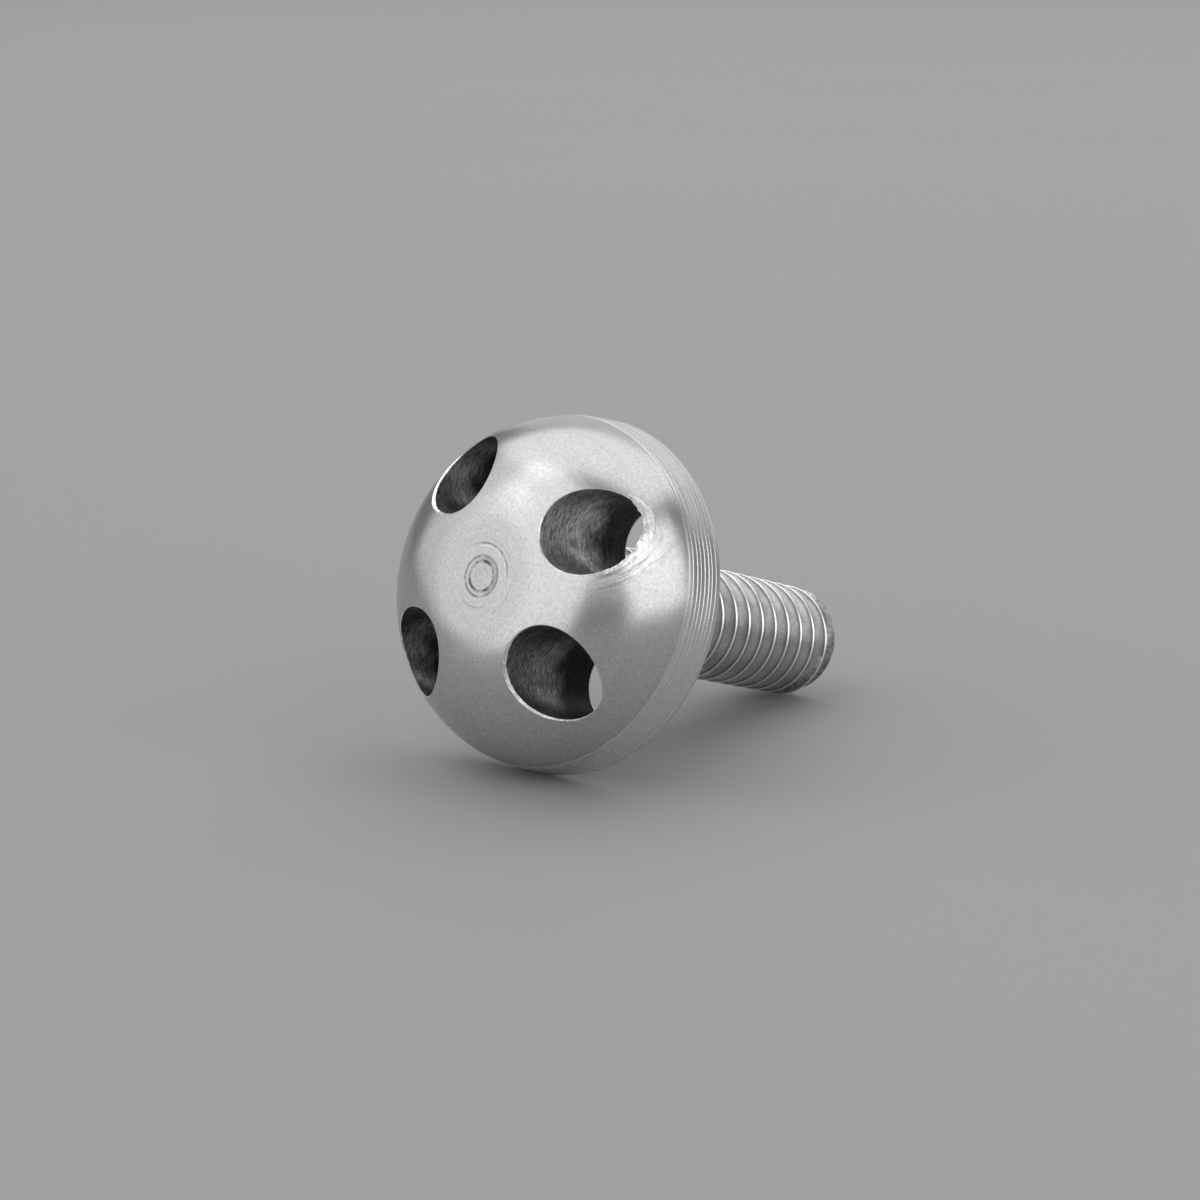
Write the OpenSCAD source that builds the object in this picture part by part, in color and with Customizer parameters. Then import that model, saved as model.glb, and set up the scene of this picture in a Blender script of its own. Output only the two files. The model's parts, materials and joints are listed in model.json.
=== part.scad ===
// Security bolt turned from one bar of steel: a domed button head with four
// drive holes drilled right through it, and a threaded shank.
// It lies as it comes to rest, on the rim of the head and the tip of the shank,
// with the shank along +X. The origin is under the middle of its box. Millimetres.

/* [Head] */
// Diameter of the head at the bearing face
head_d = 19.05; // [17:0.05:24]
// Height of the head from the bearing face to the crown
head_h = 7.7; // [6.5:0.1:9]
// Height of the turned band round the rim
rim_h = 2.1; // [1:0.1:3]
// How far the rim band draws in towards the dome, on the radius
rim_draw_in = 0.15; // [0.05:0.05:0.4]
// Edge break round the bearing face
rim_break = 0.2; // [0.05:0.05:0.4]
// Diameter of the flat crown in the middle of the dome
crown_d = 5.6; // [4:0.1:7]

/* [Drive holes] */
// Diameter of each drive hole
hole_d = 4.5; // [3:0.1:5]
// Diameter of the circle that the drive holes lie on
hole_circle_d = 12.4; // [11.5:0.1:13]
// Angle between the two holes that stand closest together
narrow_gap = 72; // [60:1:85]
// Angle between the two holes that stand furthest apart
wide_gap = 101; // [91:1:115]
// Edge break where each hole comes out under the head
hole_break = 0.4; // [0.1:0.1:0.6]

/* [Shank] */
// Major diameter of the thread, which is 1/4 inch with 20 turns to the inch
thread_d = 6.35; // [4:0.05:7]
// Length of the shank under the head
shank_l = 20.6; // [16:0.1:30]
// Lead-in chamfer at the tip
tip_chamfer = 0.6; // [0.2:0.1:1.2]

/* [Lie] */
// Turn of the bolt about its own axis as it lies, which takes the narrow gap to the side
lie_turn = -95; // [-180:1:180]

/* [Hidden] */
$fn = 96;
// Overlap that keeps a cut clear of the face it starts from
cut = 1;

head_r = head_d / 2;
rim_top_r = head_r - rim_draw_in;
crown_r = crown_d / 2;
thread_r = thread_d / 2;
hole_r = hole_d / 2;

// The dome's shoulder follows one arc, tangent to the crown and ending at the top of the rim band
shoulder_run = rim_top_r - crown_r;
shoulder_drop = head_h - rim_h;
shoulder_r = (shoulder_run * shoulder_run + shoulder_drop * shoulder_drop) / (2 * shoulder_drop);
shoulder_z = head_h - shoulder_r;
shoulder_sweep = 2 * atan(shoulder_drop / shoulder_run);
// Narrow cone bands that the arc is turned in, so that the head can be cut up round its holes
shoulder_bands = 24;

// The holes in turn: two on both sides of the wide gap, then two on both sides of the narrow gap
hole_angles = [180 - wide_gap / 2, 180 + wide_gap / 2, -narrow_gap / 2, narrow_gap / 2];

// The bolt rests on the rim, above its edge break, and on the shank, above its chamfer
rest_tilt = atan((head_r - thread_r) / (shank_l - tip_chamfer + rim_break));
rest_height = head_r * cos(rest_tilt) - rim_break * sin(rest_tilt);
reach_to_crown = shoulder_r + shoulder_z * cos(rest_tilt) + crown_r * sin(rest_tilt);
reach_to_tip = shank_l * cos(rest_tilt) + (thread_r - tip_chamfer) * sin(rest_tilt);

// A point of the shoulder's arc, from the crown at share 0 to the rim band at share 1
function shoulder_point(share) = [
    crown_r + shoulder_r * sin(share * shoulder_sweep),
    shoulder_z + shoulder_r * cos(share * shoulder_sweep),
];

// Half section of the head, with the bearing face on the floor of the profile
module head_section() {
    polygon(concat(
        [[0, 0], [head_r - rim_break, 0], [head_r, rim_break]],
        [for (band = [shoulder_bands:-1:0]) shoulder_point(band / shoulder_bands)],
        [[0, head_h]]
    ));
}

// Half section of the shank, which runs up into the head as far as the rim band
module shank_section() {
    polygon([
        [0, rim_h],
        [0, -shank_l],
        [thread_r - tip_chamfer, -shank_l],
        [thread_r, -shank_l + tip_chamfer],
        [thread_r, rim_h],
    ]);
}

// One through hole, parallel to the bolt's axis, with its edge broken under the head
module drive_hole() {
    translate([0, 0, -cut]) cylinder(r = hole_r, h = head_h + 2 * cut);
    translate([0, 0, -cut])
        cylinder(r1 = hole_r + hole_break + cut, r2 = hole_r, h = hole_break + cut);
}

// The whole bolt on its own axis, crown up, bearing face at zero
module upright_bolt() {
    difference() {
        rotate_extrude() head_section();
        for (angle = hole_angles)
            rotate([0, 0, angle + lie_turn])
                translate([hole_circle_d / 2, 0, 0]) drive_hole();
    }
    rotate_extrude() shank_section();
}

module security_bolt() {
    color([0.62, 0.62, 0.61])
        translate([(reach_to_crown - reach_to_tip) / 2, 0, rest_height])
            rotate([0, rest_tilt - 90, 0]) upright_bolt();
}

security_bolt();
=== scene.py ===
"""Looks of a turned steel security bolt: domed head, drilled drive holes and a rolled thread."""

import json
import logging
import math
from dataclasses import dataclass, replace
from enum import Enum
from typing import Any, Optional, Union

import bmesh
import bpy
from mathutils import Matrix, Vector, noise


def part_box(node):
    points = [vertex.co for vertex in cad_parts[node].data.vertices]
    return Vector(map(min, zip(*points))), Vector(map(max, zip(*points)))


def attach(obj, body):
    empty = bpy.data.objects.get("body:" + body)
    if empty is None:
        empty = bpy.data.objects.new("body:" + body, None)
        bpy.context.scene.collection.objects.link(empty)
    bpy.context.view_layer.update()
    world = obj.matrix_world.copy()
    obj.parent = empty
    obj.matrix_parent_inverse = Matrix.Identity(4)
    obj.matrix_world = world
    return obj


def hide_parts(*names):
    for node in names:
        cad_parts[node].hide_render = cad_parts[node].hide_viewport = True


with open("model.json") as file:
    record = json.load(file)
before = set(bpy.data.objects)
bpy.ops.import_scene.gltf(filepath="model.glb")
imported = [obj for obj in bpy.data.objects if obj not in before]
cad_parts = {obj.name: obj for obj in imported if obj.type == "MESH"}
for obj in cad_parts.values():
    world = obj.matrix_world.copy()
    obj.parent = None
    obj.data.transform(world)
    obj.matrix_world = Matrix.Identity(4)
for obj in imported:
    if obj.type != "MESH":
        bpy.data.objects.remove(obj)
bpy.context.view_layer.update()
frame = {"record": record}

LOG = logging.getLogger("security_bolt")
MM = 0.001
FULL_TURN = 2 * math.pi
UP = Vector((0, 0, 1))
# Distances within which points are one, on any shape, along the thread and on a cutting plane
MERGE_WITHIN = 1e-7
THREAD_MERGE_WITHIN = 1e-6
PLANE_WITHIN = 1e-8
# Keeps a quotient finite on an axis, in millimetres
AXIS_GUARD = 0.001

Profile = list[tuple[float, float]]


class Zone(Enum):
    """The surfaces of the bolt, in the order of its material slots."""

    DOME = 0
    RIM = 1
    UNDERSIDE = 2
    BORE = 3
    EDGE = 4
    FLANK = 5
    CREST = 6
    TIP = 7


class Solid(Enum):
    """How two closed meshes are put together."""

    JOIN = "UNION"
    CUT = "DIFFERENCE"
    KEEP_COMMON = "INTERSECT"


class Wire:
    """A socket of a shader tree that takes part in arithmetic, each step of which adds a Math node."""

    def __init__(self, tree: "ShaderTree", socket: bpy.types.NodeSocket) -> None:
        """Keep the tree that the socket belongs to."""
        self.tree = tree
        self.socket = socket

    def math(self, operation: str, *values: "Number") -> "Wire":
        """Add one Math node.

        Args:
            operation: The node's operation.
            values: The node's inputs in order, sockets or plain numbers.

        Returns:
            The node's value.
        """
        return self.tree.node("ShaderNodeMath", {"operation": operation}, dict(enumerate(values)))

    def __add__(self, other: "Number") -> "Wire":
        """Sum."""
        return self.math("ADD", self, other)

    def __radd__(self, other: "Number") -> "Wire":
        """Sum with a plain number first."""
        return self.math("ADD", other, self)

    def __sub__(self, other: "Number") -> "Wire":
        """Difference."""
        return self.math("SUBTRACT", self, other)

    def __rsub__(self, other: "Number") -> "Wire":
        """Difference with a plain number first."""
        return self.math("SUBTRACT", other, self)

    def __mul__(self, other: "Number") -> "Wire":
        """Product."""
        return self.math("MULTIPLY", self, other)

    def __rmul__(self, other: "Number") -> "Wire":
        """Product with a plain number first."""
        return self.math("MULTIPLY", other, self)

    def __truediv__(self, other: "Number") -> "Wire":
        """Quotient."""
        return self.math("DIVIDE", self, other)

    def __pow__(self, other: "Number") -> "Wire":
        """Power."""
        return self.math("POWER", self, other)

    def __abs__(self) -> "Wire":
        """Size without sign."""
        return self.math("ABSOLUTE", self)


Number = Union[float, Wire]


class ShaderTree:
    """The nodes of one material or world."""

    def __init__(self, owner: Union[bpy.types.Material, bpy.types.World]) -> None:
        """Switch the owner to nodes and empty its tree.

        Args:
            owner: The material or world to dress.
        """
        owner.use_nodes = True
        self.tree = owner.node_tree
        self.tree.nodes.clear()

    def node(
        self,
        kind: str,
        settings: Optional[dict[str, Any]] = None,
        inputs: Optional[dict[Union[str, int], Any]] = None,
        output: Union[str, int] = 0,
    ) -> Wire:
        """Add a node, set it up and connect it.

        Args:
            kind: The node's type.
            settings: Its properties, set before its sockets.
            inputs: Values or wires for its input sockets, by name or place.
            output: The output socket to hand back, by name or place.

        Returns:
            The chosen output.
        """
        node = self.tree.nodes.new(kind)
        for name, value in (settings or {}).items():
            setattr(node, name, value)
        for name, value in (inputs or {}).items():
            if isinstance(value, Wire):
                self.tree.links.new(value.socket, node.inputs[name])
            else:
                node.inputs[name].default_value = value
        return Wire(self, node.outputs[output] if len(node.outputs) else None)

    def vector(self, x: Number, y: Number, z: Number) -> Wire:
        """Put three values together as a vector."""
        return self.node("ShaderNodeCombineXYZ", {}, {0: x, 1: y, 2: z})

    def scaled(self, colour: tuple[float, float, float], share: Number) -> Wire:
        """Take a share of a colour."""
        return self.node("ShaderNodeVectorMath", {"operation": "SCALE"}, {0: colour, "Scale": share})

    def grain(self, place: Wire, scale: float, detail: float = 2.0, rough: float = 0.5) -> Wire:
        """Add a noise texture and hand back its level from 0 to 1."""
        inputs = {"Vector": place, "Scale": scale, "Detail": detail, "Roughness": rough}
        return self.node("ShaderNodeTexNoise", {"noise_dimensions": "3D"}, inputs, "Fac")

    def step(self, value: Wire, low: float, high: float, first: float = 0.0, last: float = 1.0) -> Wire:
        """Go smoothly from one level to another.

        Args:
            value: The value that the level follows.
            low: The value up to which the first level holds.
            high: The value from which the last level holds.
            first: The first level.
            last: The last level.

        Returns:
            The level.
        """
        settings = {"interpolation_type": "SMOOTHSTEP", "clamp": True}
        inputs = {"Value": value, "From Min": low, "From Max": high, "To Min": first, "To Max": last}
        return self.node("ShaderNodeMapRange", settings, inputs)


@dataclass(frozen=True)
class Lie:
    """Where the bolt lies: the middle of its bearing face and the way from there to the crown."""

    seat: Vector
    to_crown: Vector

    @classmethod
    def from_mounts(cls, mounts: dict[str, dict[str, Any]]) -> "Lie":
        """Read the lie from the shank's axis and the plane of the bearing face.

        Args:
            mounts: The record's mounts by name.

        Returns:
            The lie in the row frame.
        """
        axis = Vector(mounts["thread_shank"]["axis"]).normalized()
        middle = Vector(mounts["thread_shank"]["pos_m"])
        drop = (Vector(mounts["bearing_face"]["pos_m"]) - middle).dot(axis)
        return cls(middle + axis * drop, -axis)

    @property
    def matrix(self) -> Matrix:
        """Turn and move the bolt's own axes (crown along +Z, bearing face at 0) to the row frame.

        Returns:
            The matrix that does so.
        """
        side = Vector((0, 1, 0))
        rise = side.cross(self.to_crown)
        turn = Matrix((rise, side, self.to_crown)).transposed().to_4x4()
        return Matrix.Translation(self.seat) @ turn

    def own_place(self, point: Vector) -> Vector:
        """A point of the row frame in the bolt's own axes."""
        return self.matrix.inverted() @ point


@dataclass(frozen=True)
class ShadedPoint:
    """The point that a material shades, in the bolt's own axes and in millimetres."""

    tree: ShaderTree
    point: Wire
    x: Wire
    y: Wire
    z: Wire

    @classmethod
    def in_tree(cls, tree: ShaderTree, lie: Lie) -> "ShadedPoint":
        """Turn Object coordinates into the bolt's own axes.

        Args:
            tree: The material's nodes.
            lie: Where the bolt lies.

        Returns:
            The point.
        """
        inputs = {
            "Vector": tree.node("ShaderNodeTexCoord", {}, {}, "Object"),
            "Location": lie.seat,
            "Rotation": lie.matrix.to_euler(),
            "Scale": (MM, MM, MM),
        }
        point = tree.node("ShaderNodeMapping", {"vector_type": "TEXTURE"}, inputs)
        x, y, z = (tree.node("ShaderNodeSeparateXYZ", {}, {0: point}, axis) for axis in "XYZ")
        return cls(tree, point, x, y, z)

    @property
    def radius(self) -> Wire:
        """Distance from the axis."""
        return (self.x * self.x + self.y * self.y) ** 0.5

    def moved(self, x: float, y: float) -> "ShadedPoint":
        """The same point seen from an axis that stands at x and y."""
        return replace(self, x=self.x - x, y=self.y - y)

    def within_arc(self, towards: float, spread: float, soft: float = 0.35) -> Wire:
        """Tell whether the point lies in an arc round the axis.

        Args:
            towards: The direction of the arc's middle.
            spread: How far the arc runs on both sides.
            soft: How far before and past its ends the arc fades.

        Returns:
            1 in the arc, falling to 0 past its ends.
        """
        facing = (self.x * math.cos(towards) + self.y * math.sin(towards)) / (self.radius + AXIS_GUARD)
        outside = math.cos(min(spread + soft, math.pi))
        inside = math.cos(max(spread - soft, 0.0))
        return self.tree.step(facing, outside, inside)


def turned_from(towards: float, angle: float) -> float:
    """How far an angle is turned from a direction, at most half a turn both ways."""
    return (angle - towards + math.pi) % FULL_TURN - math.pi


def plateau(away: float, spread: float) -> float:
    """1 near the middle of a stretch, falling steeply to 0 past its spread."""
    return math.exp(-((away / spread) ** 4))


def uneven(place: Vector, octaves: int, roughness: float = 0.8, finer: float = 2.0) -> float:
    """Noise from about -1 to 1 at a place."""
    return noise.fractal(place, roughness, finer, octaves)


def close_up(shape: bmesh.types.BMesh) -> None:
    """Merge doubles, close open rims and turn every face outwards.

    Args:
        shape: The shape to change.
    """
    bmesh.ops.remove_doubles(shape, verts=shape.verts, dist=MERGE_WITHIN)
    rims = [edge for edge in shape.edges if edge.is_boundary]
    if rims:
        bmesh.ops.holes_fill(shape, edges=rims, sides=0)
    bmesh.ops.recalc_face_normals(shape, faces=shape.faces)


def turned(profile: Profile, steps: int) -> bmesh.types.BMesh:
    """Turn a profile of (radius, height) points about Z.

    Args:
        profile: The points, from one end of the axis to the other, or round a ring's section.
        steps: Facets round the axis.

    Returns:
        The closed shape.
    """
    shape = bmesh.new()
    points = [shape.verts.new((radius, 0, height)) for radius, height in profile]
    lines = [shape.edges.new(pair) for pair in zip(points, points[1:])]
    bmesh.ops.spin(
        shape, geom=points + lines, cent=(0, 0, 0), axis=UP, angle=FULL_TURN, steps=steps, use_merge=True
    )
    close_up(shape)
    return shape


def gathered(shapes: list[bmesh.types.BMesh]) -> bmesh.types.BMesh:
    """Put shapes that stand apart into one and free them.

    Args:
        shapes: The shapes to take.

    Returns:
        The one shape that holds them all.
    """
    whole = bmesh.new()
    for shape in shapes:
        mesh = bpy.data.meshes.new("part")
        shape.to_mesh(mesh)
        shape.free()
        whole.from_mesh(mesh)
        bpy.data.meshes.remove(mesh)
    return whole


def as_object(name: str, shape: bmesh.types.BMesh, finishes: list[bpy.types.Material]) -> bpy.types.Object:
    """Make a scene object of a shape and free the shape.

    Args:
        name: The object's name.
        shape: The shape to take.
        finishes: Materials in the order of their slots.

    Returns:
        The linked object.
    """
    mesh = bpy.data.meshes.new(name)
    shape.to_mesh(mesh)
    shape.free()
    for finish in finishes:
        mesh.materials.append(finish)
    piece = bpy.data.objects.new(name, mesh)
    bpy.context.scene.collection.objects.link(piece)
    return piece


def put_together(base: bpy.types.Object, tool: bpy.types.Object, how: Solid) -> None:
    """Change one object by a Boolean with another, apply it and remove the other.

    Args:
        base: The object to change.
        tool: The object that changes it.
        how: The kind of Boolean.
    """
    step = base.modifiers.new(how.name.lower(), "BOOLEAN")
    step.operation = how.value
    step.solver = "EXACT"
    step.material_mode = "INDEX"
    step.object = tool
    graph = bpy.context.evaluated_depsgraph_get()
    result = bpy.data.meshes.new_from_object(base.evaluated_get(graph))
    base.modifiers.clear()
    old = base.data
    base.data = result
    result.name = base.name
    bpy.data.meshes.remove(old)
    bpy.data.meshes.remove(tool.data)


@dataclass(frozen=True)
class Groove:
    """A turned groove of V section: where it is along the profile, its width and its depth."""

    place: float
    width: float
    depth: float


@dataclass
class BoltHead:
    """The domed head: a flat crown, one shoulder arc and a grooved rim band over the bearing face."""

    radius: float
    height: float = 7.7 * MM
    rim_height: float = 2.1 * MM
    rim_draw_in: float = 0.15 * MM
    rim_break: float = 0.2 * MM
    rim_break_bulge: float = 0.3
    crown_radius: float = 2.8 * MM
    plain_crown: float = 0.6
    grooved_height: float = 2.56 * MM
    groove_land: float = 0.03 * MM
    groove_land_share: float = 0.4
    underside_height: float = 0.02 * MM
    facets: int = 256
    shoulder_points: int = 52
    crown_rings: tuple[Groove, ...] = (
        Groove(0.78 * MM, 0.12 * MM, 0.014 * MM),
        Groove(1.07 * MM, 0.13 * MM, 0.008 * MM),
    )
    rim_grooves: tuple[Groove, ...] = (
        Groove(2.46 * MM, 0.08 * MM, 0.032 * MM),
        Groove(2.21 * MM, 0.06 * MM, 0.022 * MM),
        Groove(1.89 * MM, 0.07 * MM, 0.028 * MM),
        Groove(1.62 * MM, 0.05 * MM, 0.018 * MM),
        Groove(1.32 * MM, 0.07 * MM, 0.027 * MM),
        Groove(1.02 * MM, 0.08 * MM, 0.031 * MM),
        Groove(0.77 * MM, 0.06 * MM, 0.023 * MM),
        Groove(0.46 * MM, 0.05 * MM, 0.019 * MM),
    )

    @property
    def shoulder_radius(self) -> float:
        """Work out the shoulder arc, which is tangent to the crown and ends at the rim band.

        Returns:
            The arc's radius.
        """
        run = self.radius - self.rim_draw_in - self.crown_radius
        drop = self.height - self.rim_height
        return (run * run + drop * drop) / (2 * drop)

    def dome_height(self, radius: float) -> float:
        """Follow the dome outwards.

        Args:
            radius: The distance from the bolt's axis.

        Returns:
            The dome's height over the bearing face.
        """
        furthest = self.shoulder_radius * 0.999
        run = min(max(radius - self.crown_radius, 0.0), furthest)
        sink = self.shoulder_radius - math.sqrt(self.shoulder_radius**2 - run * run)
        return self.height - sink

    def side_radius(self, height: float) -> float:
        """Follow the head's side up the rim band and the shoulder above it.

        Args:
            height: The height over the bearing face.

        Returns:
            The side's radius.
        """
        if height > self.rim_height:
            rise = height - self.height + self.shoulder_radius
            return self.crown_radius + math.sqrt(self.shoulder_radius**2 - rise * rise)
        share = (height - self.rim_break) / (self.rim_height - self.rim_break)
        return self.radius - self.rim_draw_in * share

    def profile(self) -> Profile:
        """Draw the half section from the middle of the crown to the middle of the bearing face.

        Returns:
            Its points.
        """
        points = [(0.0, self.height)]
        for ring in self.crown_rings:
            for offset, depth in self.groove_points(ring):
                points.append((ring.place + offset, self.height - depth))
        points.append((self.plain_crown * self.crown_radius, self.height))
        last = self.side_radius(self.grooved_height) - self.crown_radius
        end = math.asin(last / self.shoulder_radius)
        for index in range(self.shoulder_points + 1):
            radius = self.crown_radius + self.shoulder_radius * math.sin(end * index / self.shoulder_points)
            points.append((radius, self.dome_height(radius)))
        for groove in self.rim_grooves:
            for offset, depth in self.groove_points(groove):
                height = groove.place - offset
                points.append((self.side_radius(height) - depth, height))
        bulge = self.rim_break_bulge * self.rim_break
        points += [
            (self.radius, self.rim_break),
            (self.radius - bulge, bulge),
            (self.radius - self.rim_break, 0.0),
            (self.radius - 2 * self.rim_break, 0.0),
            (0.0, 0.0),
        ]
        return points

    def groove_points(self, groove: Groove) -> Profile:
        """Draw one groove, with a strip of plain land on both sides.

        Args:
            groove: The groove.

        Returns:
            Offsets along the profile, with the depth at each.
        """
        half = groove.width / 2
        land = min(self.groove_land, self.groove_land_share * half)
        return [(-half - land, 0.0), (-half, 0.0), (0.0, groove.depth), (half, 0.0), (half + land, 0.0)]

    def shape(self) -> bmesh.types.BMesh:
        """Turn the head and tell its surfaces apart.

        Returns:
            The closed head without its holes.
        """
        head = turned(self.profile(), self.facets)
        for face in head.faces:
            middle = face.calc_center_median()
            if middle.z > self.grooved_height:
                face.material_index = Zone.DOME.value
            elif middle.z > self.underside_height:
                face.material_index = Zone.RIM.value
            else:
                face.material_index = Zone.UNDERSIDE.value
        return head


@dataclass(frozen=True)
class Raggedness:
    """How a length varies along an edge: by what share, in waves per millimetre, and the noise's layer."""

    share: float
    grain: float
    layer: float = 0.0


@dataclass(frozen=True)
class TornEdge:
    """A stretch of a hole's edge that the drill tore out, and the burr that stands along it.

    The burr's ring sinks into the steel where the edge is whole.
    """

    width: float
    height: float
    overhang: float
    towards: float
    spread_ahead: float
    spread_behind: float
    sunk_inside: float = 0.12 * MM
    sunk_outside: float = 0.22 * MM
    sunk_depth: float = 0.06 * MM
    lift: float = 0.03 * MM
    foot: float = 0.1 * MM
    foot_share: float = 0.5
    outer_raggedness: Raggedness = Raggedness(0.2, 1.6)
    overhang_raggedness: Raggedness = Raggedness(1.1, 2.6, layer=3.0)
    crumple: Raggedness = Raggedness(0.9, 1.7)
    crumple_step: float = 1.3

    def share_at(self, angle: float) -> float:
        """How much of the full width the torn stretch has.

        Args:
            angle: The angle round the hole.

        Returns:
            1 in the middle of the stretch, falling to 0 past its ends.
        """
        away = turned_from(self.towards, angle)
        return plateau(away, self.spread_ahead if away > 0 else self.spread_behind)


@dataclass
class DriveHole:
    """One drilled hole through the head, with the edge that the drill left.

    The cutter that makes it is built in rows, counted from under the bearing face: two at the broken
    edge there, the wall's, and three over the edge in the dome.
    """

    head: BoltHead
    centre: Vector
    radius: float
    torn: Optional[TornEdge] = None
    exit_break: float = 0.4 * MM
    exit_lip: float = 0.07 * MM
    edge_break: float = 0.03 * MM
    least_break: float = 0.015 * MM
    break_raggedness: Raggedness = Raggedness(0.35, 2.0)
    heavy_break: float = 0.11 * MM
    heavy_towards: float = math.radians(125)
    heavy_spread: float = 1.25
    over_edge: float = 0.02 * MM
    clearance: float = 1.0 * MM
    noise_octaves: int = 4
    first_wall_row: int = 2
    wall_rows: int = 10
    rows_over_edge: int = 3
    burr_points: int = 14
    burr_hub: float = 2.0
    facets: int = 224

    @property
    def last_wall_row(self) -> int:
        """The cutter's row at the top of the wall."""
        return self.first_wall_row + self.wall_rows

    def ragged(self, angle: float, how: Raggedness, further: float = 0.0) -> float:
        """Vary a length along the edge by noise.

        Args:
            angle: The angle round the hole's axis.
            how: How the length varies.
            further: Layers of the noise to go on by.

        Returns:
            The factor for the length.
        """
        way = Vector((math.cos(angle), math.sin(angle), 0)) * (self.radius / MM)
        place = way + Vector((self.centre.x / MM, self.centre.y / MM, how.layer + further))
        return 1 + how.share * uneven(place * how.grain, self.noise_octaves)

    def placed(self, angle: float, reach: float, height: float) -> Vector:
        """A point at an angle round the hole's axis, a reach from it and a height."""
        way = Vector((math.cos(angle), math.sin(angle), 0))
        return self.centre + way * reach + UP * height

    def dome_at(self, angle: float, reach: float) -> float:
        """Height of the dome at an angle and a reach from the hole's axis."""
        return self.head.dome_height(self.placed(angle, reach, 0.0).xy.length)

    def break_at(self, angle: float) -> float:
        """Follow the broken edge in the dome, which is heavier on one side.

        Args:
            angle: The angle round the hole's axis.

        Returns:
            The width of the break.
        """
        heavy = self.heavy_break * plateau(turned_from(self.heavy_towards, angle), self.heavy_spread)
        width = (self.edge_break + heavy) * self.ragged(angle, self.break_raggedness)
        return max(width, self.least_break)

    def cutter(self) -> bmesh.types.BMesh:
        """Make the solid that the hole takes out of the head.

        Returns:
            The closed cutter in the bolt's own axes.
        """
        rows = self.last_wall_row + self.rows_over_edge + 1
        cutter = turned([(1.0, float(row)) for row in range(rows)], self.facets)
        for face in cutter.faces:
            row = face.calc_center_median().z
            wall = self.first_wall_row < row < self.last_wall_row
            face.material_index = Zone.BORE.value if wall else Zone.EDGE.value
        for point in cutter.verts:
            angle = math.atan2(point.co.y, point.co.x)
            point.co = self.placed(angle, *self.cutter_row(round(point.co.z), angle))
        bmesh.ops.recalc_face_normals(cutter, faces=cutter.faces)
        return cutter

    def cutter_row(self, row: int, angle: float) -> tuple[float, float]:
        """Shape one row of the cutter.

        Args:
            row: The row's number.
            angle: The angle round the hole's axis.

        Returns:
            The reach from the hole's axis and the height.
        """
        if row == 0:
            return self.radius + self.exit_break + self.clearance, -self.clearance
        if row < self.first_wall_row:
            return self.radius, self.exit_break
        width = self.break_at(angle)
        if row <= self.last_wall_row:
            start = self.exit_break + self.exit_lip
            lip = self.dome_at(angle, self.radius) - width
            return self.radius, start + (lip - start) * (row - self.first_wall_row) / self.wall_rows
        outer = self.radius + width
        dome = self.dome_at(angle, outer)
        if row == self.last_wall_row + 1:
            return outer, dome
        if row == self.last_wall_row + 2:
            return outer + self.over_edge, dome + 3 * self.over_edge
        return outer + self.over_edge, self.head.height + self.clearance

    def burr(self) -> bmesh.types.BMesh:
        """Make the ring of metal that stands round the edge of a torn hole.

        Returns:
            The closed ring in the bolt's own axes.
        """
        section = []
        for point in range(self.burr_points + 1):
            turn = FULL_TURN * point / self.burr_points
            section.append((self.burr_hub + math.cos(turn), math.sin(turn)))
        ring = turned(section, self.facets)
        for point in ring.verts:
            angle = math.atan2(point.co.y, point.co.x)
            turn = math.atan2(point.co.z, point.co.xy.length - self.burr_hub)
            number = round(self.burr_points * turn / FULL_TURN) % self.burr_points
            point.co = self.burr_place(angle, number)
        for face in ring.faces:
            face.material_index = Zone.EDGE.value
        bmesh.ops.recalc_face_normals(ring, faces=ring.faces)
        return ring

    def burr_place(self, angle: float, number: int) -> Vector:
        """Place one point of the burr's section.

        Args:
            angle: The angle round the hole's axis.
            number: The point's number, counted round the section from its outer side over the top.

        Returns:
            The place in the bolt's own axes.
        """
        edge = self.torn
        share = edge.share_at(angle)
        whole = 1 - share
        width = edge.width * share
        overhang = edge.overhang * share * self.ragged(angle, edge.overhang_raggedness)
        inner = self.radius + edge.sunk_inside * whole - max(overhang, 0.0)
        outer = self.radius + edge.sunk_outside * whole + width * self.ragged(angle, edge.outer_raggedness)
        turn = FULL_TURN * number / self.burr_points
        reach = (inner + outer) / 2 + (outer - inner) / 2 * math.cos(turn)
        crumple = self.ragged(angle, edge.crumple, number * edge.crumple_step)
        top = edge.lift * (share - 0.5) + edge.height * share * crumple
        rise = (top if turn < math.pi else edge.foot + edge.foot_share * width) * math.sin(turn)
        return self.placed(angle, reach, self.dome_at(angle, reach) + rise - edge.sunk_depth * whole)


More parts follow.
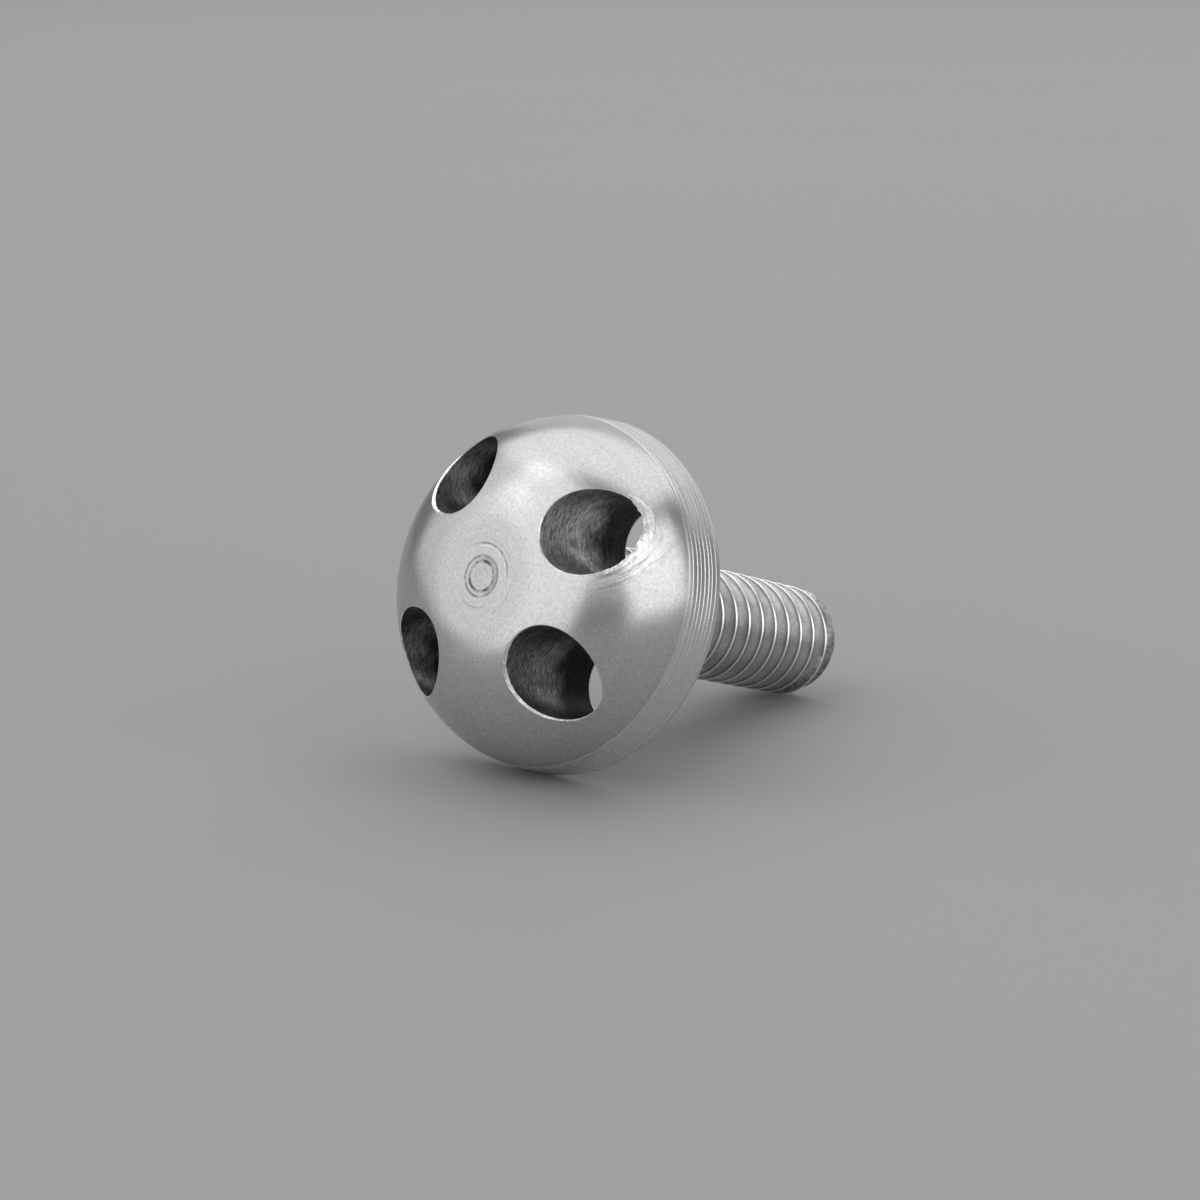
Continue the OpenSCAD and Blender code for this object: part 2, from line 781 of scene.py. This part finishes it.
@dataclass
class ThreadedShank:
    """The shank: a right-handed thread with sharp crests and round roots, rounded and worn at the tip.

    The tip's curve is points of (depth under the side, height over the end).
    """

    radius: float
    length: float
    pitch: float = 1.27 * MM
    crest_place: float = -9.172 * MM
    crest_side: float = -math.pi / 2
    crest_width: float = 0.17 * MM
    crest_round: float = 0.05 * MM
    crest_shoulder: float = 0.3
    crest_finish_depth: float = 0.9
    depth: float = 0.72 * MM
    root_roundness: float = 0.45
    side_clearance: float = 0.01 * MM
    tip_chamfer: float = 0.6 * MM
    tip_curve: tuple[tuple[float, float], ...] = (
        (0.07 * MM, 0.36 * MM),
        (0.19 * MM, 0.18 * MM),
        (0.37 * MM, 0.06 * MM),
        (0.58 * MM, 0.0),
    )
    end_rings: tuple[float, ...] = (0.7, 0.5, 0.3, 0.0)
    tip_wear: float = 0.10 * MM
    wear_share: float = 0.9
    wear_grain: float = 2.2
    wear_octaves: int = 3
    rough_tip: float = 1.35 * MM
    run_in: float = 1.2 * MM
    spare_length: float = 0.3 * MM
    spare_turns: int = 2
    steps_per_turn: int = 72
    flank_points: int = 7
    facets: int = 144

    def blank(self) -> bmesh.types.BMesh:
        """Make the blank that ends the thread inside the head and at its worn tip.

        Returns:
            The closed blank in the bolt's own axes.
        """
        side = self.radius + self.side_clearance
        profile = [(0.0, self.run_in), (side, self.run_in), (side, -self.length + self.tip_chamfer)]
        for sink, rise in self.tip_curve:
            profile.append((self.radius - sink, -self.length + rise))
        for share in self.end_rings:
            profile.append((share * self.radius, -self.length))
        blank = turned(profile, self.facets)
        for point in blank.verts:
            if point.co.z < -self.length + self.wear_share * self.tip_chamfer:
                wear = max(uneven(point.co / MM * self.wear_grain, self.wear_octaves), 0.0)
                point.co.xy = point.co.xy * (1 - self.tip_wear * wear / self.radius)
        return blank

    def ridge(self) -> Profile:
        """Draw one pitch of the thread from root to root, with the crest in the middle.

        Returns:
            Its points of (radius, height).
        """
        root = self.radius - self.depth
        flank = (self.pitch - self.crest_width) / 2
        half = []
        for index in range(self.flank_points + 1):
            share = index / self.flank_points
            rise = self.root_roundness * share * share + (1 - self.root_roundness) * share
            half.append((root + (self.depth - self.crest_round) * rise, -self.pitch / 2 + flank * share))
        shoulder = self.crest_shoulder
        half.append((self.radius - shoulder * self.crest_round, -shoulder * self.crest_width))
        other = [(radius, -height) for radius, height in reversed(half)]
        return half + [(self.radius, 0.0)] + other

    def shape(self) -> bmesh.types.BMesh:
        """Wind the thread.

        Returns:
            The closed threaded rod, longer than the shank at both ends.
        """
        start = -self.length - self.spare_turns * self.pitch
        start += (self.crest_place - start) % self.pitch
        turns = math.ceil((self.run_in - start) / self.pitch) + self.spare_turns
        rod = bmesh.new()
        points = [rod.verts.new((radius, 0, height + start)) for radius, height in self.ridge()]
        lines = [rod.edges.new(pair) for pair in zip(points, points[1:])]
        bmesh.ops.rotate(rod, verts=points, matrix=Matrix.Rotation(self.crest_side, 3, "Z"))
        bmesh.ops.spin(
            rod,
            geom=points + lines,
            cent=(0, 0, 0),
            axis=UP,
            dvec=(0, 0, self.pitch / self.steps_per_turn),
            angle=FULL_TURN * turns,
            steps=turns * self.steps_per_turn,
        )
        bmesh.ops.remove_doubles(rod, verts=rod.verts, dist=THREAD_MERGE_WITHIN)
        for height, way in ((-self.length - self.spare_length, -1), (self.run_in + self.spare_length, 1)):
            bmesh.ops.bisect_plane(
                rod,
                geom=rod.verts[:] + rod.edges[:] + rod.faces[:],
                dist=PLANE_WITHIN,
                plane_co=(0, 0, height),
                plane_no=(0, 0, way),
                clear_outer=True,
            )
        close_up(rod)
        return rod

    def dressed(self, finishes: list[bpy.types.Material]) -> bpy.types.Object:
        """Cut the blank by the thread and tell its surfaces apart.

        Args:
            finishes: Materials in the order of Zone.

        Returns:
            The shank as an object in the bolt's own axes.
        """
        shank = as_object("shank", self.shape(), finishes)
        put_together(shank, as_object("blank", self.blank(), finishes), Solid.KEEP_COMMON)
        for face in shank.data.polygons:
            if face.center.xy.length > self.radius - self.crest_finish_depth * self.crest_round:
                face.material_index = Zone.CREST.value
            elif face.center.z < -self.length + self.rough_tip:
                face.material_index = Zone.TIP.value
            else:
                face.material_index = Zone.FLANK.value
        return shank


@dataclass(frozen=True)
class PaintedShadeStep:
    """A painted shade that changes along a length in millimetres, with the level of its darker end."""

    low: float
    high: float
    level: float


@dataclass(frozen=True)
class SteelFinish:
    """One finish of the bare steel.

    The marks run round the bolt's axis, or level where the surface is a drilled wall. Lengths are in
    millimetres, apart from the depth of the marks, which is in metres.
    """

    name: str
    grey: float
    roughness: float
    across: tuple[float, float]
    marks_per_mm: float
    mark_depth: float
    mark_levels: tuple[float, float] = (0.95, 1.05)
    mark_span: tuple[float, float] = (0.36, 0.64)
    mark_relief: float = 0.8
    mark_hub: float = 0.2
    level_walls: bool = False
    streak: float = 1.1
    mottle: float = 0.2
    speck_scale: float = 9.0
    speck_relief: float = 0.25
    speck_roughness: float = 0.4
    blotch_scale: float = 0.9
    blotch_roughness: float = 0.5
    soil: float = 0.0
    soil_span: tuple[float, float] = (0.42, 0.66)
    soil_blotch: float = 0.6
    warmth: float = 0.992
    # Painted shade, darker towards a thread's root and beside its crest
    painted_root_shade: Optional[PaintedShadeStep] = None
    painted_crest_shade: Optional[PaintedShadeStep] = None
    # Painted shade, darker deeper in a bore, towards its exit
    painted_deep_shade: Optional[PaintedShadeStep] = None
    deep_wander: float = 2.4

    def material(self, lie: Lie) -> bpy.types.Material:
        """Build the finish.

        Args:
            lie: Where the bolt lies, for marks that run round its axis.

        Returns:
            The material.
        """
        material = bpy.data.materials.new(self.name)
        tree = ShaderTree(material)
        place = ShadedPoint.in_tree(tree, lie)
        marks = self.marks(place)
        speck = tree.grain(place.point, self.speck_scale, detail=2.0, rough=0.6)
        blotch = tree.grain(place.point, self.blotch_scale, detail=3.0, rough=0.6)
        shade = self.shade(place, marks, speck, blotch) * self.extra_shade(place)
        colour = tree.scaled((self.grey, self.grey, self.warmth * self.grey), shade)
        patchy = self.blotch_roughness * (blotch - 0.5) + self.speck_roughness * (speck - 0.5)
        height = marks * self.mark_relief + speck * self.speck_relief + self.extra_height(place)
        relief = {"Strength": 1.0, "Distance": self.mark_depth, "Height": height}
        steel = {
            "Base Color": colour,
            "Metallic": 1.0,
            "Roughness": self.roughness * (1.0 + patchy),
            "Normal": tree.node("ShaderNodeBump", {}, relief),
        }
        surface = tree.node("ShaderNodeBsdfPrincipled", {}, steel)
        tree.node("ShaderNodeOutputMaterial", {}, {"Surface": surface})
        return material

    def marks(self, place: ShadedPoint) -> Wire:
        """Lay the tool marks.

        Args:
            place: The shaded point.

        Returns:
            Their level from 0 to 1.
        """
        across = place.radius * self.across[0] + place.z * self.across[1]
        reach = self.streak if self.level_walls else place.radius + self.mark_hub
        along = place.tree.vector(place.x / reach, place.y / reach, across * self.marks_per_mm)
        return place.tree.grain(along, 1.0, detail=3.0, rough=0.65)

    def shade(self, place: ShadedPoint, marks: Wire, speck: Wire, blotch: Wire) -> Wire:
        """Shade the steel by its marks, its mottle and its soil, with painted shade by the place on the
        bolt: in thread roots, beside crests and deep in bores.

        Args:
            place: The shaded point.
            marks: The level of the tool marks.
            speck: The level of the fine mottle.
            blotch: The level of the broad mottle.

        Returns:
            The share of light that the steel keeps.
        """
        tree = place.tree
        shade = tree.step(marks, *self.mark_span, *self.mark_levels) * (1.0 - self.mottle * (speck - 0.5))
        if self.soil:
            patches = blotch * self.soil_blotch + speck * (1.0 - self.soil_blotch)
            shade = shade * tree.step(patches, *self.soil_span, 1.0, 1.0 - self.soil)
        # Painted shade, darker towards the thread's root
        if self.painted_root_shade:
            root = self.painted_root_shade
            shade = shade * tree.step(place.radius, root.low, root.high, root.level, 1.0)
        # Painted shade, darker beside the thread's crest
        if self.painted_crest_shade:
            crest = self.painted_crest_shade
            shade = shade * tree.step(place.radius, crest.low, crest.high, 1.0, crest.level)
        # Painted shade, darker deeper in a bore, towards its exit under the head
        if self.painted_deep_shade:
            deep = self.painted_deep_shade
            wander = place.z + self.deep_wander * (blotch - 0.5)
            shade = shade * tree.step(wander, deep.low, deep.high, deep.level, 1.0)
        return shade

    def extra_shade(self, place: ShadedPoint) -> Number:
        """Share of light kept by marks that only some finishes have."""
        return 1.0

    def extra_height(self, place: ShadedPoint) -> Number:
        """Relief of marks that only some finishes have, in mark depths."""
        return 0.0


@dataclass(frozen=True)
class CrownMark:
    """A turning mark round the middle of the crown, whole or an arc. Millimetres and radians."""

    radius: float
    width: float
    shade: float
    towards: float = 0.0
    spread: float = math.pi


@dataclass(frozen=True)
class Scuff:
    """A scuffed patch beside a hole, with strokes that run round the hole. Millimetres and radians."""

    centre: tuple[float, float]
    inner: float
    outer: float
    towards: float
    spread: float
    inner_fade: float = 0.15
    outer_fade: float = 0.6
    stroke_shortness: float = 2.2
    strokes_per_mm: float = 6.0
    stroke_span: tuple[float, float] = (0.35, 0.65)
    stroke_levels: tuple[float, float] = (-0.3, 0.25)
    relief: float = 9.0


@dataclass(frozen=True)
class DomeFinish(SteelFinish):
    """The dome's finish, with turning marks on the crown and a scuffed patch beside the torn hole."""

    crown_marks: tuple[CrownMark, ...] = ()
    crown_wander: float = 0.07
    crown_wander_scale: float = 3.0
    crown_core: float = 0.25
    crown_fade: float = 0.6
    crown_gap_scale: float = 2.2
    crown_gap_span: tuple[float, float] = (0.3, 0.6)
    crown_gap_level: float = 0.35
    scuff: Optional[Scuff] = None

    def mark_level(self, place: ShadedPoint, mark: CrownMark) -> Wire:
        """Lay one crown mark, broken up along its way.

        Args:
            place: The shaded point.
            mark: The mark.

        Returns:
            1 on the mark and 0 off it.
        """
        tree = place.tree
        wander = place.radius + self.crown_wander * (tree.grain(place.point, self.crown_wander_scale) - 0.5)
        core, fade = self.crown_core * mark.width, self.crown_fade * mark.width
        line = tree.step(abs(wander - mark.radius), core, fade, 1.0, 0.0)
        gaps = tree.grain(place.point, self.crown_gap_scale, detail=1.0)
        line = line * tree.step(gaps, *self.crown_gap_span, self.crown_gap_level, 1.0)
        if mark.spread < math.pi:
            line = line * place.within_arc(mark.towards, mark.spread)
        return line

    def scuff_level(self, place: ShadedPoint) -> tuple[Wire, Wire]:
        """Lay the scuffed patch.

        Args:
            place: The shaded point.

        Returns:
            How far the point lies in the patch, and the level of the strokes there.
        """
        tree = place.tree
        scuff = self.scuff
        beside = place.moved(*scuff.centre)
        reach = beside.radius
        inside = tree.step(reach, scuff.inner, scuff.inner + scuff.inner_fade)
        inside = inside * tree.step(reach, scuff.outer - scuff.outer_fade, scuff.outer, 1.0, 0.0)
        inside = inside * beside.within_arc(scuff.towards, scuff.spread)
        short = scuff.stroke_shortness
        along = tree.vector(beside.x / reach * short, beside.y / reach * short, reach * scuff.strokes_per_mm)
        return inside, tree.grain(along, 1.0, detail=3.0, rough=0.7)

    def extra_shade(self, place: ShadedPoint) -> Number:
        """Darken the crown marks and the low strokes of the scuffed patch.

        Args:
            place: The shaded point.

        Returns:
            The share of light that the marks leave.
        """
        shade = 1.0
        for mark in self.crown_marks:
            shade = shade * (1.0 - (1.0 - mark.shade) * self.mark_level(place, mark))
        if self.scuff:
            inside, strokes = self.scuff_level(place)
            level = place.tree.step(strokes, *self.scuff.stroke_span, *self.scuff.stroke_levels)
            shade = shade * (1.0 + inside * level)
        return shade

    def extra_height(self, place: ShadedPoint) -> Number:
        """Raise the strokes of the scuffed patch.

        Args:
            place: The shaded point.

        Returns:
            Their relief in mark depths.
        """
        if not self.scuff:
            return 0.0
        inside, strokes = self.scuff_level(place)
        return inside * strokes * self.scuff.relief


@dataclass(frozen=True)
class BoreFinish(SteelFinish):
    """The finish of the drilled walls, with painted light on the walls of one hole. Millimetres."""

    painted_light_hole: Optional[tuple[float, float]] = None
    painted_light_reach: float = 3.0
    painted_light_fade: float = 0.3
    painted_light_gain: float = 2.1

    def extra_shade(self, place: ShadedPoint) -> Number:
        """Paint light on the walls of one hole, brightening them.

        Args:
            place: The shaded point.

        Returns:
            The gain of the painted light in that hole, and 1 in the others.
        """
        # Painted light, brighter walls in one hole
        if not self.painted_light_hole:
            return 1.0
        reach = place.moved(*self.painted_light_hole).radius
        far = self.painted_light_reach + self.painted_light_fade
        return place.tree.step(reach, self.painted_light_reach, far, self.painted_light_gain, 1.0)


FINISHES: dict[Zone, SteelFinish] = {
    Zone.DOME: DomeFinish(
        name="turned_dome",
        grey=0.56,
        roughness=0.27,
        across=(1.0, -1.0),
        marks_per_mm=7.0,
        mark_depth=2.2e-6,
        mark_levels=(0.97, 1.03),
        mottle=0.5,
        speck_scale=6.0,
        crown_marks=(
            CrownMark(0.25, 0.9, 0.9),
            CrownMark(0.78, 0.19, 0.22),
            CrownMark(0.92, 0.22, 0.66, math.radians(-60), 1.6),
            CrownMark(1.07, 0.15, 0.48),
            CrownMark(1.60, 0.10, 1.2, math.radians(-30), 0.75),
            CrownMark(1.72, 0.13, 0.52, math.radians(-28), 0.85),
            CrownMark(2.02, 0.10, 0.8, math.radians(-30), 0.35),
            CrownMark(1.62, 0.14, 0.78, math.radians(165), 0.5),
            CrownMark(2.1, 0.14, 0.8, math.radians(-120), 0.35),
        ),
    ),
    Zone.RIM: SteelFinish(
        name="grooved_rim",
        grey=0.70,
        roughness=0.28,
        across=(0.0, 1.0),
        marks_per_mm=13.0,
        mark_depth=3e-6,
        mark_levels=(0.92, 1.06),
        mottle=0.35,
    ),
    Zone.UNDERSIDE: SteelFinish(
        name="faced_underside",
        grey=0.52,
        roughness=0.32,
        across=(1.0, 0.0),
        marks_per_mm=8.0,
        mark_depth=4e-6,
    ),
    Zone.BORE: BoreFinish(
        name="drilled_bore",
        grey=0.36,
        roughness=0.36,
        across=(0.0, 1.0),
        marks_per_mm=9.0,
        mark_depth=7e-6,
        mark_levels=(0.55, 1.5),
        level_walls=True,
        streak=0.42,
        mottle=0.9,
        speck_scale=6.5,
        # Painted shade deep in the bores
        painted_deep_shade=PaintedShadeStep(2.4, 4.8, 0.04),
    ),
    Zone.EDGE: SteelFinish(
        name="drilled_edge",
        grey=0.88,
        roughness=0.36,
        across=(0.3, 1.0),
        marks_per_mm=6.0,
        mark_depth=1.4e-5,
        mark_levels=(0.74, 1.08),
        mottle=1.0,
        speck_scale=7.0,
    ),
    Zone.FLANK: SteelFinish(
        name="rolled_flank",
        grey=0.56,
        roughness=0.32,
        across=(0.3, 1.0),
        marks_per_mm=5.0,
        mark_depth=5e-6,
        mark_levels=(0.88, 1.12),
        mottle=0.5,
        soil=0.15,
        # Painted shade in the roots and beside the crests of the thread
        painted_root_shade=PaintedShadeStep(2.5, 2.78, 0.22),
        painted_crest_shade=PaintedShadeStep(2.92, 3.1, 0.5),
    ),
    Zone.CREST: SteelFinish(
        name="worn_crest",
        grey=0.90,
        roughness=0.32,
        across=(0.0, 1.0),
        marks_per_mm=5.0,
        mark_depth=3e-6,
        mark_levels=(0.92, 1.06),
        mottle=0.3,
    ),
    Zone.TIP: SteelFinish(
        name="cut_tip",
        grey=0.66,
        roughness=0.32,
        across=(0.5, 0.5),
        marks_per_mm=3.0,
        mark_depth=4.5e-5,
        mark_levels=(0.5, 1.25),
        mottle=1.1,
        speck_scale=4.0,
        soil=0.3,
    ),
}


@dataclass
class SecurityBolt:
    """The whole bolt: one turned piece of steel, with the last of its drive holes torn at the edge."""

    lie: Lie
    head: BoltHead
    holes: list[DriveHole]
    shank: ThreadedShank
    node: str = "security_bolt"
    sharp_over: float = math.radians(32)
    scuff_start: float = 0.3
    scuff_width: float = 1.1
    scuff_towards: float = math.radians(-120)
    scuff_spread: float = 0.5

    @classmethod
    def from_frame(cls, record: dict[str, Any]) -> "SecurityBolt":
        """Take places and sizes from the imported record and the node's box.

        Args:
            record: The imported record.

        Returns:
            The bolt, ready to build.
        """
        mounts = {mount["name"]: mount for mount in record["mounts"]}
        lie = Lie.from_mounts(mounts)
        low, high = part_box(cls.node)
        head = BoltHead(radius=(high.y - low.y) / 2)
        shank_dims = mounts["thread_shank"]["dims"]
        shank = ThreadedShank(shank_dims["r_mm"] * MM, length=0.0)
        shank.length = shank_dims["length_mm"] * MM + shank.tip_chamfer
        holes = []
        for name in sorted(mounts):
            if name.startswith("drive_hole"):
                centre = lie.own_place(Vector(mounts[name]["pos_m"]))
                centre.z = 0
                holes.append(DriveHole(head, centre, mounts[name]["dims"]["r_mm"] * MM))
        torn = TornEdge(
            width=0.25 * MM,
            height=0.05 * MM,
            overhang=0.07 * MM,
            towards=math.radians(-80),
            spread_ahead=1.1,
            spread_behind=1.25,
        )
        holes[-1] = replace(holes[-1], torn=torn, heavy_break=0.02 * MM, facets=256)
        return cls(lie, head, holes, shank)

    def finishes(self) -> list[bpy.types.Material]:
        """Build the materials, with the scuffed patch beside the torn hole and painted light on the walls in
        it.

        Returns:
            The materials in the order of Zone.
        """
        hole = self.holes[-1]
        centre = (hole.centre.x / MM, hole.centre.y / MM)
        inner = (hole.radius + self.scuff_start * hole.torn.width) / MM
        outer = inner + self.scuff_width
        scuff = Scuff(centre, inner, outer, self.scuff_towards, self.scuff_spread)
        finishes = {
            **FINISHES,
            Zone.DOME: replace(FINISHES[Zone.DOME], scuff=scuff),
            # Painted light on the walls of the torn hole
            Zone.BORE: replace(FINISHES[Zone.BORE], painted_light_hole=centre),
        }
        return [finishes[zone].material(self.lie) for zone in Zone]

    def build(self) -> bpy.types.Object:
        """Model the bolt, dress it and hand it to the frame.

        Returns:
            The finished piece.
        """
        finishes = self.finishes()
        bolt = as_object("turned_bolt", self.head.shape(), finishes)
        cutters = gathered([hole.cutter() for hole in self.holes])
        put_together(bolt, as_object("cutters", cutters, finishes), Solid.CUT)
        burrs = gathered([hole.burr() for hole in self.holes if hole.torn])
        put_together(bolt, as_object("burrs", burrs, finishes), Solid.JOIN)
        put_together(bolt, self.shank.dressed(finishes), Solid.JOIN)
        bolt.data.transform(self.lie.matrix)
        for face in bolt.data.polygons:
            face.use_smooth = True
        bolt.data.set_sharp_from_angle(angle=self.sharp_over)
        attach(bolt, "root")
        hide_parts(self.node)
        return bolt


@dataclass(frozen=True)
class Softbox:
    """A large soft lamp, placed and sized by angles seen from the bolt. Azimuths are from +X towards +Y."""

    name: str
    azimuth: float
    elevation: float
    width: float
    height: float
    radiance: float
    distance: float = 6.0

    def across(self, angle: float) -> float:
        """Length that an angle seen from the bolt takes up at the lamp."""
        return 2 * self.distance * math.tan(math.radians(angle / 2))

    def build(self, aim: Vector) -> None:
        """Hang the lamp and point it at the bolt.

        Args:
            aim: The point that the lamp faces.
        """
        around, rise = math.radians(self.azimuth), math.radians(self.elevation)
        level = Vector((math.cos(around), math.sin(around), 0))
        way = level * math.cos(rise) + UP * math.sin(rise)
        lamp = bpy.data.lights.new(self.name, "AREA")
        lamp.shape = "RECTANGLE"
        lamp.size = self.across(self.width)
        lamp.size_y = self.across(self.height)
        lamp.energy = self.radiance * math.pi * lamp.size * lamp.size_y
        piece = bpy.data.objects.new(self.name, lamp)
        piece.location = aim + way * self.distance
        piece.rotation_euler = way.to_track_quat("Z", "Y").to_euler()
        piece.visible_camera = False
        bpy.context.scene.collection.objects.link(piece)


@dataclass
class Studio:
    """The pale floor, the soft light and the camera."""

    lie: Lie
    floor_colour: tuple[float, float, float] = (0.33, 0.33, 0.33)
    floor_reach: float = 20.0
    floor_roughness: float = 0.75
    floor_mottle: float = 0.03
    floor_mottle_scale: float = 6.0
    surround: float = 0.20
    lens: float = 85.0
    sensor: float = 36.0
    nearest: float = 0.01
    furthest: float = 100.0
    distance: float = 150.0 * MM
    heading: float = math.radians(49.9)
    dip: float = math.radians(12.86)
    aim_right: float = 1.31 * MM
    aim_down: float = 0.21 * MM
    softboxes: tuple[Softbox, ...] = (
        Softbox("overhead_softbox", 30.0, 68.0, 80.0, 54.0, 1.10),
        Softbox("left_softbox", 168.0, 37.0, 64.0, 74.0, 1.06),
        Softbox("left_fill", 116.0, 27.0, 40.0, 44.0, 0.64),
        Softbox("right_softbox", -88.0, 24.0, 58.0, 48.0, 1.34),
        Softbox("back_softbox", 14.0, 22.0, 74.0, 36.0, 0.46),
        Softbox("front_fill", 222.0, 27.0, 44.0, 26.0, 0.40),
    )

    def build(self) -> None:
        """Set up floor, light, camera and view settings."""
        bpy.context.scene.view_settings.view_transform = "Standard"
        self.build_floor()
        self.build_world()
        for softbox in self.softboxes:
            softbox.build(self.lie.seat)
        self.build_camera()

    def build_floor(self) -> None:
        """Lay the plain floor."""
        shape = bmesh.new()
        bmesh.ops.create_grid(shape, x_segments=1, y_segments=1, size=self.floor_reach)
        material = bpy.data.materials.new("pale_floor")
        tree = ShaderTree(material)
        place = tree.node("ShaderNodeTexCoord", {}, {}, "Object")
        cloud = tree.grain(place, self.floor_mottle_scale)
        colour = tree.scaled(self.floor_colour, 1.0 - self.floor_mottle / 2 + self.floor_mottle * cloud)
        paint = {"Base Color": colour, "Roughness": self.floor_roughness}
        surface = tree.node("ShaderNodeBsdfPrincipled", {}, paint)
        tree.node("ShaderNodeOutputMaterial", {}, {"Surface": surface})
        as_object("floor", shape, [material])

    def build_world(self) -> None:
        """Give the surroundings an even grey."""
        world = bpy.data.worlds.new("surround")
        tree = ShaderTree(world)
        grey = (self.surround, self.surround, self.surround, 1.0)
        light = tree.node("ShaderNodeBackground", {}, {"Color": grey, "Strength": 1.0})
        tree.node("ShaderNodeOutputWorld", {}, {"Surface": light})
        bpy.context.scene.world = world

    def build_camera(self) -> None:
        """Set the camera where the photograph was taken from."""
        right = Vector((math.cos(self.heading), -math.sin(self.heading), 0))
        level = Vector((math.sin(self.heading), math.cos(self.heading), 0))
        ahead = level * math.cos(self.dip) - UP * math.sin(self.dip)
        down = ahead.cross(right)
        aim = self.lie.seat + right * self.aim_right + down * self.aim_down
        turn = Matrix((right, -down, -ahead)).transposed().to_4x4()
        lens = bpy.data.cameras.new("camera")
        lens.lens = self.lens
        lens.sensor_width = self.sensor
        lens.clip_start = self.nearest
        lens.clip_end = self.furthest
        camera = bpy.data.objects.new("camera", lens)
        camera.matrix_world = Matrix.Translation(aim - ahead * self.distance) @ turn
        bpy.context.scene.collection.objects.link(camera)
        bpy.context.scene.camera = camera


def main() -> None:
    """Build the bolt and its studio."""
    logging.basicConfig(level=logging.INFO, format="%(name)s: %(message)s")
    bolt = SecurityBolt.from_frame(frame["record"])
    piece = bolt.build()
    LOG.info("%s: %d faces", piece.name, len(piece.data.polygons))
    Studio(bolt.lie).build()


if __name__ == "__main__":
    main()
